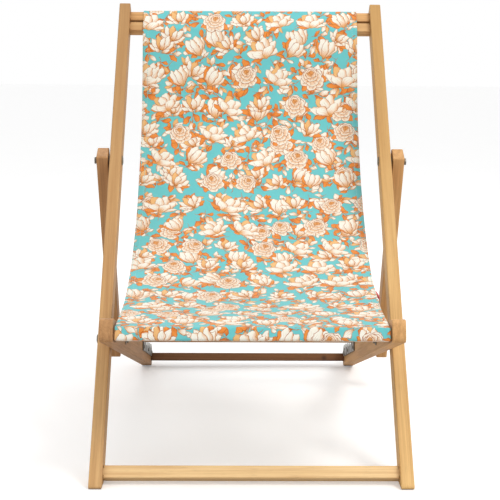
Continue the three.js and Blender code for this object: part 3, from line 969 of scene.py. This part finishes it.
def add_stitch_row(bm, sheet, x):
    """Stitches along the sheet, a distance across it."""
    for arc in np.arange(STITCH_MARGIN, sheet.length - STITCH_MARGIN, STITCH_PITCH):
        i = int(np.searchsorted(sheet.arcs, arc))
        share = (arc - sheet.arcs[i - 1]) / (sheet.arcs[i] - sheet.arcs[i - 1])
        a = sheet.place(x, i - 1, CLOTH_THICK / 2)
        b = sheet.place(x, i, CLOTH_THICK / 2)
        way = (b - a).normalized()
        normal = Vector((1, 0, 0)).cross(way).normalized()
        normal = normal if normal.z > 0 else -normal
        add_stitch(bm, a.lerp(b, share), way, normal, STITCH_LENGTH, STITCH_RADIUS)


def build_stitches(sheet, material):
    """Two rows of stitches hold each side hem."""
    bm = bmesh.new()
    for side in (-1, 1):
        for inset in STITCH_INSETS:
            add_stitch_row(bm, sheet, side * (CLOTH_WIDTH / 2 - inset))
    bmesh.ops.recalc_face_normals(bm, faces=bm.faces)
    mesh = bpy.data.meshes.new("hem_stitches")
    bm.to_mesh(mesh)
    bm.free()
    obj = new_object("hem_stitches", mesh)
    mesh.materials.append(material)
    for polygon in mesh.polygons:
        polygon.use_smooth = True
    across_frames(obj)


def thread_material():
    """Pale turquoise twisted thread."""
    material, g = new_material("thread")
    place = g.node("ShaderNodeTexCoord").outputs["Object"]
    twist = g.noise(place, scale=900.0, detail=1.0)["Fac"]
    color = g.mix(twist, linear(120, 196, 194), linear(206, 232, 226))
    normal = g.bump(twist, distance=0.0001, strength=0.6)
    finish_material(g, Base_Color=color, Roughness=0.7, Normal=normal)
    return material


TAPE_PITCH_MM = 0.7


def tag_material():
    """Red woven tape."""
    material, g = new_material("tag_tape")
    place = g.vector("SCALE", g.node("ShaderNodeTexCoord").outputs["Object"], MILLIMETRES)
    x, y, _ = g.split(place)
    rib = g.math("SINE", g.math("MULTIPLY", y, math.tau / TAPE_PITCH_MM))
    cross = g.math("SINE", g.math("MULTIPLY", x, math.tau / TAPE_PITCH_MM))
    weave = g.math("MULTIPLY", rib, cross)
    share = g.math("ADD", g.math("MULTIPLY", weave, 0.3), 0.5)
    color = g.mix(share, linear(196, 34, 46), linear(222, 58, 66))
    normal = g.bump(weave, distance=0.0001, strength=0.6)
    finish_material(g, Base_Color=color, Roughness=0.75, Sheen_Weight=0.3, Normal=normal)
    return material


def tag_profile(low_x, high_x, drop):
    """The folded tape in front view, as (x, z): its upper side, its fold and its lower side."""
    bend = low_x + 0.0015
    upper = [(low_x - 0.005, -0.0010), (bend - 0.002, -0.0008), (bend + 0.001, -0.0014)]
    upper += [(bend + 0.003, -0.0045), (high_x - 0.0016, -drop * 0.8)]
    fold = [(high_x - 0.0012, -drop * 0.95), (high_x - 0.0018, -drop)]
    fold += [(high_x - 0.0026, -drop * 0.93)]
    lower = [(x - 0.0013, z - 0.0012) for x, z in upper[::-1]]
    return upper + fold + lower


def build_tag(material):
    """A blank tape folded in two: its ends are held under the hem, and its fold hangs outside."""
    low, high = (Vector(corner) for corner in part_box("sling_tag"))
    middle = (low + high) / 2
    drop, width, thick = TAG_SIZE
    slope = math.atan2(high.z - low.z, high.y - low.y)
    way = Vector((0, math.cos(slope), math.sin(slope)))
    up = Vector((0, 0, 1))
    profile = tag_profile(low.x, high.x, drop)
    bm = bmesh.new()
    grid = []
    for j in range(TAG_STRIPS + 1):
        y = width * (j / TAG_STRIPS - 0.5)
        curl = TAG_CURL * (2 * j / TAG_STRIPS - 1) ** 2
        row = []
        for x, z in profile:
            centre = Vector((x - curl, middle.y, middle.z))
            row.append(bm.verts.new(centre + way * y + up * z))
        grid.append(row)
    for a, b in zip(grid, grid[1:]):
        for k in range(len(profile) - 1):
            bm.faces.new((a[k], b[k], b[k + 1], a[k + 1])).smooth = True
    mesh = bpy.data.meshes.new("edge_tag")
    bm.to_mesh(mesh)
    bm.free()
    obj = new_object("edge_tag", mesh)
    mesh.materials.append(material)
    solid = obj.modifiers.new("thickness", "SOLIDIFY")
    solid.thickness = thick
    solid.offset = 0
    smooth = obj.modifiers.new("smooth", "SUBSURF")
    smooth.levels = 1
    apply_modifiers(obj)
    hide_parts("sling_tag")
    across_frames(obj)


# ---- Stage ----


def build_floor():
    """A plain pale floor that runs out of sight."""
    mesh = bpy.data.meshes.new("floor")
    far = FLOOR_HALF_SIDE
    corners = [(-far, -far, 0), (far, -far, 0), (far, far, 0), (-far, far, 0)]
    mesh.from_pydata(corners, [], [(0, 1, 2, 3)])
    floor = new_object("floor", mesh)
    material, g = new_material("floor_paint")
    place = g.node("ShaderNodeTexCoord").outputs["Object"]
    cloud = g.noise(place, scale=3.0)["Fac"]
    tone = g.mix(cloud, linear(250, 250, 250), linear(253, 253, 253))
    seen = g.node("ShaderNodeLightPath").outputs["Is Camera Ray"]
    base = g.mix(seen, FLOOR_BOUNCE, tone)
    glow = g.math("MULTIPLY", seen, FLOOR_GLOW)
    finish_material(g, Base_Color=base, Roughness=0.85, Specular_IOR_Level=0.1,
                    Emission_Color=tone, Emission_Strength=glow)
    mesh.materials.append(material)


def add_area_light(name, place, aim, size, power, tint):
    """A round light. Its size is in metres, and its power in watts."""
    light = bpy.data.lights.new(name, "AREA")
    light.shape = "DISK"
    light.size = size
    light.energy = power
    light.color = tint
    obj = new_object(name, light)
    obj.location = place
    obj.rotation_euler = (Vector(aim) - Vector(place)).to_track_quat("-Z", "Y").to_euler()


def build_lights():
    """A pale studio: an even world, and a key, a fill and a rim light."""
    world = bpy.data.worlds.new("studio")
    world.use_nodes = True
    g = Graph(world.node_tree)
    seen = g.node("ShaderNodeLightPath").outputs["Is Camera Ray"]
    background = world.node_tree.nodes["Background"]
    strength = g.math("MULTIPLY_ADD", seen, 1.0 - WORLD_LIGHT, WORLD_LIGHT)
    g.plug(background.inputs["Strength"], strength)
    background.inputs["Color"].default_value = (1.0, 1.0, 1.0, 1.0)
    bpy.context.scene.world = world
    aim = (0, 0, 0.4)
    warm, cool, plain = (1.0, 0.98, 0.95), (0.96, 0.98, 1.0), (1.0, 1.0, 1.0)
    add_area_light("key", (1.9, -1.7, 3.2), aim, size=1.6, power=58.0, tint=warm)
    add_area_light("fill", (-2.8, -1.6, 1.8), aim, size=2.4, power=12.0, tint=cool)
    add_area_light("rim", (-0.6, 3.0, 2.6), aim, size=2.0, power=16.0, tint=plain)


# The camera, fitted to the photograph: its place, the degrees it turns, dips and tilts, and its lens.
CAMERA_PLACE = (-0.0257, -2.3749, 0.7004)
CAMERA_ANGLES = (-0.615, 8.743, 0.295)
LENS_MM = 89.9
SENSOR_MM = 36.0


def build_camera():
    """Sets up the camera at the photograph's viewing angle."""
    yaw, pitch, roll = (math.radians(angle) for angle in CAMERA_ANGLES)
    right = Vector((math.cos(yaw), math.sin(yaw), 0))
    level = Vector((-math.sin(yaw), math.cos(yaw), 0))
    up = level * math.sin(pitch) + Vector((0, 0, math.cos(pitch)))
    forward = level * math.cos(pitch) - Vector((0, 0, math.sin(pitch)))
    tilted_right = right * math.cos(roll) + up * math.sin(roll)
    tilted_up = up * math.cos(roll) - right * math.sin(roll)
    data = bpy.data.cameras.new("camera")
    data.lens = LENS_MM
    data.sensor_width = SENSOR_MM
    camera = new_object("camera", data)
    axes = Matrix((tilted_right, tilted_up, -forward)).transposed()
    camera.matrix_world = Matrix.Translation(CAMERA_PLACE) @ axes.to_4x4()
    bpy.context.scene.camera = camera


def main():
    """Dresses the CAD nodes, and builds the canvas, the floor, the lights and the camera."""
    dress_frames()
    printed = print_group()
    face = canvas_material("canvas_face", printed, reverse=False)
    reverse = canvas_material("canvas_reverse", printed, reverse=True)
    sheet = Sheet()
    build_canvas(sheet, face, reverse)
    build_stitches(sheet, thread_material())
    build_tag(tag_material())
    build_floor()
    build_lights()
    build_camera()
    scene = bpy.context.scene
    scene.view_settings.view_transform = "Standard"
    scene.view_settings.look = "None"


main()
